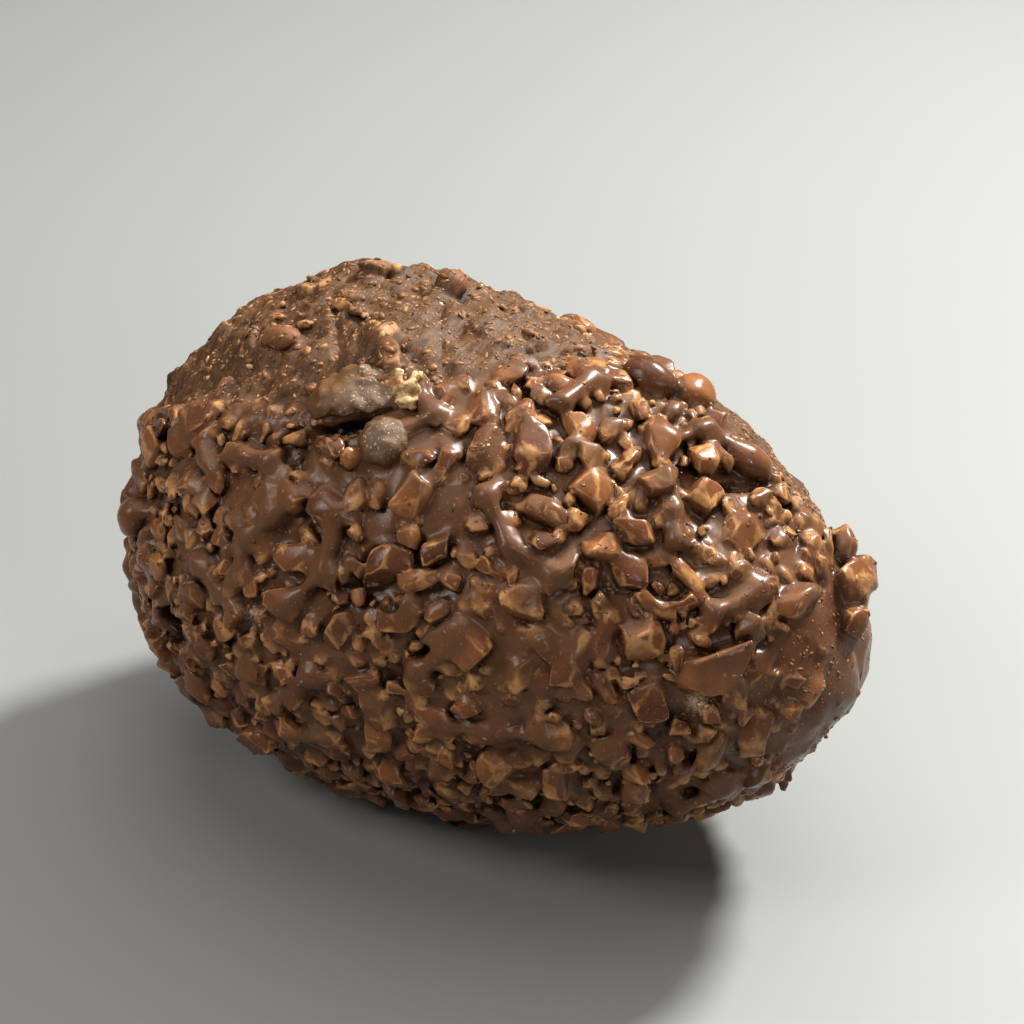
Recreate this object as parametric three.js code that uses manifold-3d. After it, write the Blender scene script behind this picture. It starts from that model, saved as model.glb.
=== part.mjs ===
// A milk chocolate egg in a thick coat of chopped nuts. Millimetres, +Z up.
// The egg lies on its side: its long axis runs along +X, the narrow end at +X, slightly lower.
// It is one solid: the egg, its larger nut pieces fused on, its hollows cut in, on a small flat spot.

import * as THREE from 'three';
import { mergeVertices } from 'three/addons/utils/BufferGeometryUtils.js';
import Module from 'manifold-3d';

const wasm = await Module();
wasm.setup();

// The egg of chocolate under the nuts.
const halfLength = 97.4;
const middleRadius = 64.6;
const taper = 0.314; // how much fuller the blunt end is than the narrow one
const tiltDown = 2.7; // degrees, narrow end down
const centre = new THREE.Vector3(1.31, -0.03, 64.8);
const tableSize = 400; // what the egg lies on, used to cut its flat spot

// Its surface: one step of the grid is about 10 mm.
const ringCount = 20;
const sideCount = 30;
const coatLift = 1.2; // the coat is this much thicker where it holds many nuts
const waves = { height: 0.7, length: 17, bend: 1.3, twist: 31 }; // left by hand dipping
const endRadius = 30; // closer to the axis than this, the coat is laid on lengthwise
// Where the egg swells or dips: [along, around, reach, height].
const swells = [
  [-52, 72, 28, 4.0], [18, 62, 30, -2.8], [48, 70, 16, 2.2], [-30, 118, 22, 1.2],
  [84, 100, 20, -1.5], [6, 210, 28, -2.6], [-90, 165, 24, -1.4],
];

// Where few nuts show: oval patches, the scraped crown and the back of the shoulder.
const barePatches = [
  { along: -50, halfSpan: 72, around: 90, halfAngle: 43, lean: 0.2, edge: 0.16 },
  { along: 62, halfSpan: 32, around: 50, halfAngle: 30, lean: 0, edge: 0.3 },
];
const narrowEndStart = 84; // beyond this only crumbs cover the egg

// The nut pieces.
const seed = 20618;
const fusedPieces = 288;
const longest = 11.5;
const shortest = 6.6;
const mostTries = 60000;
const endThinning = 0.34; // the egg has this much less skin per mm of length at its ends
const spacing = 0.76; // least distance between two pieces, as a share of their mean length
const leastProud = 0.29; // how far a piece stands out, as a share of its length
const proudRange = 0.13;
const leastWide = 0.6; // how wide a piece is, as a share of its length
const wideRange = 0.35;
const lengthRange = 0.1; // how far its length strays from its turn's
const strayShare = 0.4; // the share of pieces that may stray onto the crown's edge
const skew = 0.34; // how far the cut faces of a chopped piece lean
const narrowing = 0.16; // how far they draw together
const tip = 26; // degrees, how far a piece lies over to a side
const blockShare = 0.79; // a block's half side, as a share of the piece's half length
const roundness = 0.85; // how tall a piece is, as a share of its width
const leastRoot = 1.5; // and at least this much taller than the part that stands out

// Whole and half nuts that kept their round skin, in the same terms as the next list.
const roundNuts = [
  [31, 80, 14, 11, 6.2, 175], [41, 74, 12, 10, 5.4, 105], [60, 83, 13, 8, 4.6, 165],
  [-82, 171, 12, 10, 5.6, 150], [-53, 109, 11, 8, 3.8, 0],
  [-25, 77, 8, 7, 4.4, 0],
];

// Notable pieces, by hand: [along, around, long, wide, proud, turn].
// Along is mm from the egg's middle; around is degrees, 90 at the top and 180 at the front.
const placedPieces = [
  // on the crown
  [-29, 104, 6, 6, 2.4, 0], [-22, 111, 11, 5, 2.6, 50],
  // round the crack: its flap, the broken nut and the lump in front
  [-23, 118, 13, 11, 4.4, 160], [-14, 114, 8, 8, 3.6, 160], [-13, 128, 13, 11, 4.2, 65],
  // blunt end
  [-61, 131, 12, 12, 4.2, 60], [-59, 149, 8, 8, 3.2, 65], [-56, 143, 12, 5, 3.4, 35],
  [-46, 140, 10, 8, 3.2, 165], [-38, 139, 9, 8, 3.2, 65], [-80, 144, 11, 9, 4.0, 45],
  [-68, 203, 12, 10, 4.6, 130], [-50, 166, 9, 7, 2.8, 160],
  // front, upper row
  [-17, 145, 11, 6, 3.0, 165], [-16, 157, 9, 7, 3.0, 75], [5, 114, 10, 7, 3.2, 65],
  [9, 123, 12, 8, 3.4, 65], [20, 119, 11, 9, 3.4, 65], [26, 107, 9, 9, 3.4, 145],
  [35, 120, 13, 11, 4.0, 5], [47, 111, 9, 8, 4.2, 145], [44, 99, 12, 9, 3.6, 65],
  [53, 95, 10, 10, 4.4, 130],
  // front, middle rows
  [-2, 150, 14, 8, 3.2, 145], [7, 152, 10, 6, 2.8, 155], [-25, 157, 12, 8, 2.8, 160],
  [-9, 167, 12, 7, 2.8, 110], [4, 162, 10, 7, 2.6, 160], [19, 161, 15, 11, 3.8, 10],
  [24, 140, 10, 6, 3.0, 70], [31, 150, 14, 10, 3.4, 55], [36, 142, 8, 7, 3.0, 70],
  [50, 136, 11, 9, 3.4, 160], [49, 126, 9, 6, 3.2, 150], [61, 130, 12, 5, 3.0, 20],
  [67, 108, 14, 8, 3.4, 105], [57, 151, 14, 11, 3.8, 65], [43, 162, 14, 9, 3.4, 85],
  // narrow end
  [83, 117, 15, 7, 4.4, 115], [91, 158, 10, 9, 3.4, 85], [77, 162, 11, 7, 3.2, 75],
  [90, 76, 12, 10, 5.6, 105], [93, 90, 10, 8, 4.6, 50], [70, 159, 12, 11, 4.0, 170],
  // front, lower rows
  [11, 171, 11, 8, 3.0, 50], [16, 183, 13, 9, 3.2, 60], [29, 182, 13, 13, 3.2, 170],
  [1, 193, 13, 7, 3.2, 95], [62, 168, 13, 10, 3.4, 50], [83, 183, 14, 8, 3.4, 90],
  [78, 207, 14, 11, 3.6, 50], [-22, 187, 10, 8, 3.0, 175], [-35, 212, 11, 9, 3.4, 130],
];

const hollowRise = 1; // a hollow's middle lies this far above the skin
// Hollows between the pieces: [along, around, long, wide, deep, turn].
const hollows = [
  [-22, 127, 17, 6, 6.5, 153], // the crack under the flap
  [-62, 190, 8, 7, 7.0, 0], // the dark hole at the blunt end
  [61, 94, 12, 5, 5.0, 130], // behind the long nut on the shoulder
  [34, 186, 8, 3, 3.5, 40], // beside the round disc
];

function makeRandom(start) {
  let state = start;
  return () => {
    state = (state * 16807) % 2147483647;
    return state / 2147483647;
  };
}

// 1 in the middle of a bare patch, 0 among the nuts.
function bareness(along, around) {
  const shares = barePatches.map((patch) => {
    const reach = (along - patch.along) / patch.halfSpan;
    if (Math.abs(reach) > 1) return 0;
    const middle = patch.around - (along - patch.along) * patch.lean;
    const swing = (around - middle) / (patch.halfAngle * Math.sqrt(1 - reach * reach));
    return (1 - Math.hypot(swing, reach * reach)) / patch.edge;
  });
  return THREE.MathUtils.clamp(Math.max(...shares), 0, 1);
}

function radiusAt(along) {
  const u = along / halfLength;
  return middleRadius * Math.sqrt(Math.max(0, 1 - u * u) / (1 + taper * u));
}

// How far the coat stands off the plain egg.
function coatHeight(along, around) {
  const angle = THREE.MathUtils.degToRad(around);
  const lengthwise = Math.sin(along / waves.length + waves.bend * Math.sin(angle));
  const crosswise = Math.cos(2 * angle + along / waves.twist);
  let height = coatLift * (1 - bareness(along, around)) + waves.height * lengthwise * crosswise;
  for (const [swellAlong, swellAround, reach, rise] of swells) {
    const arc = THREE.MathUtils.degToRad(around - swellAround) * middleRadius;
    height += rise * Math.exp(-((along - swellAlong) ** 2 + arc ** 2) / reach ** 2);
  }
  return height;
}

// Point on the coated egg's surface.
function surfacePoint(along, around) {
  const angle = THREE.MathUtils.degToRad(around);
  const endFade = Math.min(1, radiusAt(along) / endRadius);
  const coat = coatHeight(along, around);
  const radius = radiusAt(along) + coat * endFade;
  const stretch = 1 + ((1 - endFade) * coat) / halfLength;
  return new THREE.Vector3(along * stretch, radius * Math.cos(angle), radius * Math.sin(angle));
}

// Axes on the surface: x along the egg, y around it, z straight into it.
function surfaceFrame(along, around) {
  const step = 0.5;
  const inner = THREE.MathUtils.clamp(along, -halfLength + 2 * step, halfLength - 2 * step);
  const radii = radiusAt(inner + step) - radiusAt(inner - step);
  const angle = THREE.MathUtils.degToRad(around);
  const out = new THREE.Vector3(0, Math.cos(angle), Math.sin(angle));
  const lengthwise = new THREE.Vector3(2 * step, 0, 0).addScaledVector(out, radii).normalize();
  const crosswise = new THREE.Vector3(0, -Math.sin(angle), Math.cos(angle));
  const inward = new THREE.Vector3().crossVectors(lengthwise, crosswise);
  return { lengthwise, crosswise, inward };
}

function toSolid(geometry) {
  geometry.deleteAttribute('normal');
  geometry.deleteAttribute('uv');
  const merged = mergeVertices(geometry);
  const vertProperties = new Float32Array(merged.attributes.position.array);
  const triVerts = new Uint32Array(merged.index.array);
  return new wasm.Manifold(new wasm.Mesh({ numProp: 3, vertProperties, triVerts }));
}

function reshape(geometry, move) {
  const position = geometry.attributes.position;
  for (let i = 0; i < position.count; i += 1) {
    const moved = move(new THREE.Vector3().fromBufferAttribute(position, i));
    position.setXYZ(i, moved.x, moved.y, moved.z);
  }
  return geometry;
}

function eggSolid() {
  const ball = new THREE.SphereGeometry(1, sideCount, ringCount).rotateZ(-Math.PI / 2);
  return toSolid(reshape(ball, (point) => {
    const around = THREE.MathUtils.radToDeg(Math.atan2(point.z, point.y));
    return surfacePoint(point.x * halfLength, (around + 360) % 360);
  }));
}

// A chopped piece is a block with six flat faces that lean and draw together at random.
function chopShape(random) {
  const draw = (most) => (2 * random() - 1) * most;
  const lean = [draw(skew), draw(skew), draw(skew)];
  const draws = new THREE.Vector3(draw(narrowing), draw(narrowing), draw(narrowing));
  const tipped = new THREE.Euler(...[draw(tip), draw(tip)].map(THREE.MathUtils.degToRad), 0);
  return { lean, draws, tipped };
}

function chopCorner(corner, { lean, draws, tipped }) {
  const moved = corner.clone();
  moved.x += lean[0] * corner.y + lean[1] * corner.z;
  moved.y += lean[2] * corner.z;
  moved.divideScalar(1 + draws.dot(corner));
  return moved.multiplyScalar(blockShare).applyEuler(tipped);
}

// A blob set on the egg. move takes a unit direction to a point, x long, y wide, z in.
function setOnEgg(geometry, { along, around, turn }, move) {
  const { lengthwise, crosswise, inward } = surfaceFrame(along, around);
  const angle = THREE.MathUtils.degToRad(turn);
  const foot = surfacePoint(along, around);
  return toSolid(reshape(geometry, (direction) => {
    const local = move(direction).applyAxisAngle(new THREE.Vector3(0, 0, 1), angle);
    return foot.clone()
      .addScaledVector(lengthwise, local.x)
      .addScaledVector(crosswise, local.y)
      .addScaledVector(inward, local.z);
  }));
}

function nutSolid(piece) {
  const tall = Math.max(piece.wide * roundness, piece.proud * leastRoot);
  const size = new THREE.Vector3(piece.long, piece.wide, tall).multiplyScalar(0.5);
  const blank = piece.round ? new THREE.IcosahedronGeometry(1, 0) : new THREE.BoxGeometry(2, 2, 2);
  return setOnEgg(blank, piece, (point) => {
    const local = piece.round ? point.clone() : chopCorner(point, piece.shape);
    local.multiply(size);
    local.z += tall / 2 - piece.proud;
    return local;
  });
}

function hollowSolid([along, around, long, wide, deep, turn]) {
  const size = new THREE.Vector3(long / 2, wide / 2, deep);
  const place = { along, around, turn };
  return setOnEgg(new THREE.IcosahedronGeometry(1, 1), place, (direction) => {
    const local = direction.clone().multiply(size);
    local.z -= hollowRise;
    return local;
  });
}

// Placed pieces first, then scattered ones from the largest down, wherever there is room.
function allPieces() {
  const random = makeRandom(seed);
  const pieces = [];
  const gaps = hollows.map(([along, around, long]) => (
    { place: surfacePoint(along, around), long }
  ));
  const keep = (round, along, around, long, wide, proud, turn) => {
    const place = surfacePoint(along, around);
    const shape = chopShape(random);
    pieces.push({ round, along, around, long, wide, proud, turn, place, shape });
  };
  roundNuts.forEach((row) => keep(true, ...row));
  placedPieces.forEach((row) => keep(false, ...row));
  for (let tries = 0; tries < mostTries && pieces.length < fusedPieces; tries += 1) {
    const along = (2 * random() - 1) * halfLength;
    const around = 360 * random();
    const draws = [random(), random(), random(), random(), random()];
    const share = pieces.length / fusedPieces;
    const stray = 1 + lengthRange * (2 * draws[0] - 1);
    const long = (longest + (shortest - longest) * share) * stray;
    const wide = long * (leastWide + wideRange * draws[1]);
    const place = surfacePoint(along, around);
    const onBand = draws[2] < 1 - endThinning * (along / halfLength) ** 2;
    const covered = bareness(along, around) < draws[3] * strayShare && along < narrowEndStart;
    const near = [...gaps, ...pieces].some((other) => (
      other.place.distanceTo(place) < (spacing * (other.long + long)) / 2
    ));
    if (onBand && covered && !near) {
      const proud = long * (leastProud + proudRange * draws[4]);
      keep(false, along, around, long, wide, proud, 180 * random());
    }
  }
  return pieces;
}

// The egg is made level, about its own middle, and the table is cut out of it where it lies.
function chocolateEgg() {
  const milkChocolate = new THREE.MeshStandardMaterial({ color: 0x6b4a35, roughness: 0.38 });
  const mesh = new THREE.Mesh(new THREE.BufferGeometry(), milkChocolate);
  mesh.name = 'chocolate_egg';
  mesh.position.copy(centre);
  mesh.rotation.y = THREE.MathUtils.degToRad(tiltDown);
  mesh.updateMatrix();

  let egg = eggSolid();
  for (const row of hollows) egg = egg.subtract(hollowSolid(row));
  for (const piece of allPieces()) egg = egg.add(nutSolid(piece));
  const table = new THREE.BoxGeometry(tableSize, tableSize, tableSize);
  table.translate(0, 0, -tableSize / 2).applyMatrix4(mesh.matrix.clone().invert());
  egg = egg.subtract(toSolid(table));

  const { vertProperties, triVerts } = egg.getMesh();
  mesh.geometry.setAttribute('position', new THREE.BufferAttribute(vertProperties, 3));
  mesh.geometry.setIndex(new THREE.BufferAttribute(triVerts, 1));
  mesh.geometry.computeVertexNormals();
  return mesh;
}

const group = new THREE.Group();
group.add(chocolateEgg());

export default group;
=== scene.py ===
import math
import bmesh
import bpy
import numpy as np
import openvdb
from mathutils import Matrix, Vector


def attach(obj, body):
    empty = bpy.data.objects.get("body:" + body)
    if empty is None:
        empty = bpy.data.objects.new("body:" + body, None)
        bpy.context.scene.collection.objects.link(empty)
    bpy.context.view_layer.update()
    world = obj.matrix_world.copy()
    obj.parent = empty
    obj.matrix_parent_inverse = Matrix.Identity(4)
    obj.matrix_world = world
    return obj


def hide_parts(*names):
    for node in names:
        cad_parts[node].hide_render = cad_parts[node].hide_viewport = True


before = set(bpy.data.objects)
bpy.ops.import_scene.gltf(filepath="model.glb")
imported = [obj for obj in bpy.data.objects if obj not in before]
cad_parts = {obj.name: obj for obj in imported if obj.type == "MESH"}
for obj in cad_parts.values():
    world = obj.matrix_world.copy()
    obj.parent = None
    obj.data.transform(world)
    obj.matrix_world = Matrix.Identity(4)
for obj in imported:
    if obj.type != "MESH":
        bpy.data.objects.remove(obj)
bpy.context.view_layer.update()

# millimetres, about the egg's own middle and level; x runs to the narrow end, z up

egg = {
    "halfLength": 97.4,
    "middleRadius": 64.6,
    "taper": 0.314,  # how much fuller the blunt end is
    "tiltDown": 2.7,  # degrees, narrow end down
    "centre": (1.31, -0.03, 64.8),  # the egg's middle above the table
    "coatLift": 1.2,  # the coat is this much thicker where it holds many nuts
    "sag": 0.7,  # and so much of it has run off from between them
    "unevenness": 0.7,
    "endRadius": 30,  # closer to the axis than this, the lift turns lengthwise
    "slopeStep": 0.5,
}

# where the egg swells or dips: along, around, reach, height
swells = [
    (-52, 72, 28, 4.0), (18, 62, 30, -2.8), (48, 70, 16, 2.2), (-30, 118, 22, 1.2),
    (84, 100, 20, -1.5), (6, 210, 28, -2.6), (-90, 165, 24, -1.4),
]
# where few nuts show: oval patches, the scraped crown and the back of the shoulder
crown = {"along": -50, "halfSpan": 72, "around": 90, "halfAngle": 43, "lean": 0.2, "edge": 0.16}
shoulderBack = {"along": 62, "halfSpan": 32, "around": 50, "halfAngle": 30, "lean": 0, "edge": 0.3}
narrowEndStart = 84  # beyond this only crumbs cover the egg


def smoothStep(low, high, value):
    share = np.clip((value - low) / (high - low), 0, 1)
    return share * share * (3 - 2 * share)


def patchShare(patch, along, around):  # 1 in the middle of a bare patch, 0 among the nuts
    reach = (along - patch["along"]) / patch["halfSpan"]
    inside = np.sqrt(np.clip(1 - reach * reach, 1e-4, 1))
    middle = patch["around"] - (along - patch["along"]) * patch["lean"]
    swing = (around - middle) / (patch["halfAngle"] * inside)
    share = np.clip((1 - np.hypot(swing, reach * reach)) / patch["edge"], 0, 1)
    return np.where(np.abs(reach) > 1, 0, share)


def bareness(along, around):
    return np.maximum(patchShare(crown, along, around), patchShare(shoulderBack, along, around))


def radiusAt(along):
    u = along / egg["halfLength"]
    return egg["middleRadius"] * np.sqrt(np.maximum(0, 1 - u * u) / (1 + egg["taper"] * u))


def coatHeight(along, around):  # how far the coat stands off the plain egg
    angle = np.radians(around)
    waves = np.sin(along / 17 + 1.3 * np.sin(angle)) * np.cos(2 * angle + along / 31)
    height = egg["coatLift"] * (1 - bareness(along, around)) + egg["unevenness"] * waves
    for swellAlong, swellAround, reach, rise in swells:
        arc = np.radians(around - swellAround) * egg["middleRadius"]
        height = height + rise * np.exp(-((along - swellAlong) ** 2 + arc ** 2) / reach ** 2)
    return height


def surfacePoint(along, around):
    angle = np.radians(around)
    radius = radiusAt(along)
    endFade = np.minimum(1, radius / egg["endRadius"])
    raised = coatHeight(along, around)
    radius = radius + raised * endFade
    stretch = 1 + (1 - endFade) * raised / egg["halfLength"]
    return np.stack([along * stretch, radius * np.cos(angle), radius * np.sin(angle)], axis=-1)


def surfaceAxes(along, around):  # columns: along the egg, around it, straight into it
    step = egg["slopeStep"]
    inner = np.clip(along, -egg["halfLength"] + 2 * step, egg["halfLength"] - 2 * step)
    slope = radiusAt(inner + step) - radiusAt(inner - step)
    angle = np.radians(around)
    cosine, sine = np.cos(angle), np.sin(angle)
    lengthwise = np.array([2 * step, slope * cosine, slope * sine])
    lengthwise /= np.linalg.norm(lengthwise)
    crosswise = np.array([0, -sine, cosine])
    return np.stack([lengthwise, crosswise, np.cross(lengthwise, crosswise)], axis=1)


def toWorld(points):  # egg millimetres to the object's metres
    tilt = math.radians(egg["tiltDown"])
    x = points[:, 0] * math.cos(tilt) + points[:, 2] * math.sin(tilt)
    z = points[:, 2] * math.cos(tilt) - points[:, 0] * math.sin(tilt)
    return (np.stack([x, points[:, 1], z], axis=1) + egg["centre"]) / 1000


# the larger nut pieces lie where the solid has them

nuts = {
    "seed": 20618,
    "fused": 288,
    "longest": 11.5,
    "shortest": 6.6,
    "mostTries": 60000,
    "endThinning": 0.34,  # the egg has this much less skin per mm of length at its ends
    "spacing": 0.76,  # least distance between two pieces, as a share of their mean length
    "leastProud": 0.29,  # how far a piece stands out, as a share of its length
    "proudRange": 0.13,
    "leastWide": 0.6,  # how wide a piece is, as a share of its length
    "wideRange": 0.35,
    "leastLong": 0.9,  # the lengths fall evenly, and each strays by this
    "longRange": 0.2,
    "strayShare": 0.4,  # the share of pieces that may stray onto the crown's edge
    "skew": 0.34,  # how far the cut faces of a chopped piece lean
    "narrowing": 0.16,  # how far they draw together
    "tip": 26,  # degrees, how far a piece lies over to a side
    "blockShare": 0.79,  # a block's half side, as a share of the piece's half length
    "roundness": 0.85,  # how tall a piece is, as a share of its width
    "leastRoot": 1.5,  # and at least this much taller than the part that stands out
}

# how a nut piece looks beyond the block it is cut from, and how the chocolate lies on it
chop = {
    "swelling": 1.13,  # the block's faces move out by this, as its corners are cut back
    "cuts": (5, 10),
    "cutShare": (0.62, 0.98),
    "flat": 0.035,  # the most that a broken face is hollow or round, as 1 / radius
    "shell": (0.09, 0.15),  # one face is the nut's own round outside
    "film": (0.3, 1.0),  # how far the chocolate rounds the edges
    "biteShare": 0.65,  # this many pieces have a hollow chip out of them
    "biteSize": (0.35, 0.8),  # as a share of its length
    "biteDepth": (0.62, 0.85),  # how much of the nut is left under it
    "mostFilm": 0.2,  # and at most this share of the piece's width
    "pool": (0.6, 2.5),  # how wide the chocolate pools on the bare and on the covered side
    "cover": 1.0,  # how thick it can lie on the covered side
    "coverShare": (0.15, 1),  # and how much of that it does
    "leastCover": 0.5,  # on the smallest pieces
    "ownTintCover": 0.2,  # on the pieces with a tint of their own
    "coverEdge": (0.2, 0.7),  # how far over the nut it reaches
    "moat": 0.7,  # how deep the coat draws back from the bare side
    "moatWidth": 1.1,
    "smallUnder": 7,  # pieces shorter than this get less of it all
    "runSpread": 55,  # it covers a nut's upper side, give or take these degrees
}

# along, around, long, wide, proud, turn: millimetres and degrees
roundNuts = [
    (31, 80, 14, 11, 6.2, 175), (41, 74, 12, 10, 5.4, 105), (60, 83, 13, 8, 4.6, 165),
    (-82, 171, 12, 10, 5.6, 150), (-53, 109, 11, 8, 3.8, 0), (-25, 77, 8, 7, 4.4, 0),
]
placedPieces = [
    (-29, 104, 6, 6, 2.4, 0), (-22, 111, 11, 5, 2.6, 50),  # on the crown
    (-23, 118, 13, 11, 4.4, 160), (-14, 114, 8, 8, 3.6, 160), (-13, 128, 13, 11, 4.2, 65),  # crack
    (-61, 131, 12, 12, 4.2, 60), (-59, 149, 8, 8, 3.2, 65), (-56, 143, 12, 5, 3.4, 35),  # blunt end
    (-46, 140, 10, 8, 3.2, 165), (-38, 139, 9, 8, 3.2, 65), (-80, 144, 11, 9, 4.0, 45),
    (-68, 203, 12, 10, 4.6, 130), (-50, 166, 9, 7, 2.8, 160),
    (-17, 145, 11, 6, 3.0, 165), (-16, 157, 9, 7, 3.0, 75), (5, 114, 10, 7, 3.2, 65),  # upper row
    (9, 123, 12, 8, 3.4, 65), (20, 119, 11, 9, 3.4, 65), (26, 107, 9, 9, 3.4, 145),
    (35, 120, 13, 11, 4.0, 5), (47, 111, 9, 8, 4.2, 145), (44, 99, 12, 9, 3.6, 65),
    (53, 95, 10, 10, 4.4, 130),
    (-2, 150, 14, 8, 3.2, 145), (7, 152, 10, 6, 2.8, 155), (-25, 157, 12, 8, 2.8, 160),  # middle rows
    (-9, 167, 12, 7, 2.8, 110), (4, 162, 10, 7, 2.6, 160), (19, 161, 15, 11, 3.8, 10),
    (24, 140, 10, 6, 3.0, 70), (31, 150, 14, 10, 3.4, 55), (36, 142, 8, 7, 3.0, 70),
    (50, 136, 11, 9, 3.4, 160), (49, 126, 9, 6, 3.2, 150), (61, 130, 12, 5, 3.0, 20),
    (67, 108, 14, 8, 3.4, 105), (57, 151, 14, 11, 3.8, 65), (43, 162, 14, 9, 3.4, 85),
    (83, 117, 15, 7, 4.4, 115), (91, 158, 10, 9, 3.4, 85), (77, 162, 11, 7, 3.2, 75),  # narrow end
    (90, 76, 12, 10, 5.6, 105), (93, 90, 10, 8, 4.6, 50), (70, 159, 12, 11, 4.0, 170),
    (11, 171, 11, 8, 3.0, 50), (16, 183, 13, 9, 3.2, 60), (29, 182, 13, 13, 3.2, 170),  # lower rows
    (1, 193, 13, 7, 3.2, 95), (62, 168, 13, 10, 3.4, 50), (83, 183, 14, 8, 3.4, 90),
    (78, 207, 14, 11, 3.6, 50), (-22, 187, 10, 8, 3.0, 175), (-35, 212, 11, 9, 3.4, 130),
]
# smaller ones, that the solid doesn't have
placedBits = [
    (88, 62, 11, 9, 6.5, 100), (84, 67, 10, 8, 6.0, 40), (91, 72, 9, 8, 5.5, 0),  # narrow end
    (-66, 134, 8, 7, 4.5, 30), (-60, 126, 7, 6, 4.0, 100),  # blunt end
    (-27, 105.5, 7.5, 6, 5.4, 100), (-20.5, 111, 12, 5.5, 5.4, 60),
    (-44, 80, 7, 6, 4.4, 0), (-40, 79, 5, 4, 3.4, 50), (-59, 87, 9, 6, 1.8, 20),  # on the crown
    (-54, 88, 6, 4, 1.8, 60), (-45, 96, 6, 4, 1.6, 10), (2, 84, 6, 5, 2.4, 40), (12, 80, 7, 5, 2.6, 120),
    (35, 94, 7, 5.5, 3.6, 20), (41, 87, 6, 4.5, 3.4, 80), (39, 96, 5, 4, 2.8, 130),  # on the shoulder
    (38.5, 159, 8, 6, 3.4, 30), (33, 166, 7, 5, 3.0, 100), (46, 146, 6.5, 5, 3.0, 70),  # on the front
    (-24.5, 132, 9, 5.5, 3.0, 20), (-18.5, 134, 6, 4, 3.0, 100), (-3, 129.5, 10, 4.5, 3.4, 150),
    (-21, 145, 10, 8, 4.6, 30), (-0.5, 137, 11, 9, 4.2, 110), (-14, 141, 8, 6, 2.8, 60),  # below the crack
]
# how dark some of the placed pieces are, from 1 to 255: by along and around
pieceTints = {
    (31, 80): 250, (41, 74): 30, (-53, 109): 60, (53, 95): 20, (-27, 105.5): 110, (-20.5, 111): 90,
    (-59, 87): 3, (-54, 88): 3, (-45, 96): 3,
}
# along, around, long, wide, deep, turn
hollows = [
    (-22, 127, 17, 6, 6.5, 153),  # the crack under the flap
    (-62, 190, 8, 7, 7.0, 0),  # the hole at the blunt end, painted black inside as its shade
    (61, 94, 12, 5, 5.0, 130),  # behind the long nut on the shoulder
    (34, 186, 8, 3, 3.5, 40),  # beside the round disc
]

# smooth places that chocolate pooled in, where no small pieces show: along, around
calm = {
    "spots": [
        (-32, 152), (-45, 149), (-21, 165), (7, 135), (-22, 139), (23, 161), (13, 137), (-3, 124),
        (-40, 176),
    ],
    "more": 20,  # and as many at random, over the other sides
    "sides": (205, 440),
    "reach": 6.2,
    "lift": 0.8,
    "span": (-0.9, 0.8),  # the random ones lie in this part of the half length
    "quietness": (0.25, 0.4),  # the nearness at which all pieces stay off, and its range
    "seed": 23,
}

bits = {
    "seed": 71,
    "count": 2400,
    "longest": 8.0,
    "shortest": 1.7,
    "lengthCurve": 0.65,  # below 1, more of them are short
    "mostTries": 60000,
    "spacing": 0.63,
    "crumbly": 3.0,  # shorter ones also lie on the bare patches and the narrow end
    "crumblyBare": 0.35,
    "crumblyEnd": 0.6,
    "bareLimit": (0.1, 1.1),  # how far onto the bare patches the longer ones come, and its range
    "intoEnd": 5,  # mm that they stray onto the narrow end
    "leastProud": 0.18,
    "proudRange": 0.28,
    "lowerWhereBare": 0.45,
    "leastWide": 0.6,
    "wideRange": 0.4,
    "oddRoom": 2.2,  # the odd pieces at the crack keep this many times their own room free
    "fineFrom": 3.2,  # shorter ones go into a piece of their own
}


def makeRandom(state):
    while True:
        state = state * 16807 % 2147483647
        yield state / 2147483647


def chopShape(draw):  # a block whose six faces lean and draw together at random
    def spread(most):
        return (2 * next(draw) - 1) * most
    lean = [spread(nuts["skew"]) for _ in range(3)]
    narrow = np.array([spread(nuts["narrowing"]) for _ in range(3)])
    tipX, tipY = (math.radians(spread(nuts["tip"])) for _ in range(2))
    signs = np.array([(a, b, c) for a in (-1, 1) for b in (-1, 1) for c in (-1, 1)], dtype=float)
    corners = signs.copy()
    corners[:, 0] += lean[0] * signs[:, 1] + lean[1] * signs[:, 2]
    corners[:, 1] += lean[2] * signs[:, 2]
    corners *= nuts["blockShare"] / (1 + signs @ narrow)[:, None]
    turned = np.array(Matrix.Rotation(tipX, 3, "X") @ Matrix.Rotation(tipY, 3, "Y"))
    corners = corners @ turned.T
    faces = []
    for axis in range(3):
        for side in (-1, 1):
            a, b, c = corners[signs[:, axis] == side][:3]
            normal = np.cross(b - a, c - a)
            faces.append(normal / normal.dot(a))
    return np.array(faces)  # a point v is on a face where face . v = 1


def breakUp(piece, luck):  # cut corners, how each face bulges, and hollow chips
    directions = luck.normal(size=(luck.integers(*chop["cuts"]), 3))
    directions /= np.linalg.norm(directions, axis=1)[:, None]
    cuts = directions / luck.uniform(*chop["cutShare"], len(directions))[:, None]
    piece["broken"] = np.concatenate([piece["faces"] / chop["swelling"], cuts])
    bulges = luck.uniform(-chop["flat"], chop["flat"], len(piece["broken"]))
    bulges[luck.integers(len(bulges))] = luck.uniform(*chop["shell"])
    piece["bulges"] = bulges
    piece["bites"] = []
    if luck.uniform() < chop["biteShare"]:
        size = piece["long"] * luck.uniform(*chop["biteSize"])
        toward = luck.normal(size=3)
        toward[2] = -abs(toward[2])
        toward /= np.linalg.norm(toward)
        depth = np.linalg.norm(toward * piece["half"]) * luck.uniform(*chop["biteDepth"])
        piece["bites"].append((piece["axes"] @ toward * (depth + size), size))


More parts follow.
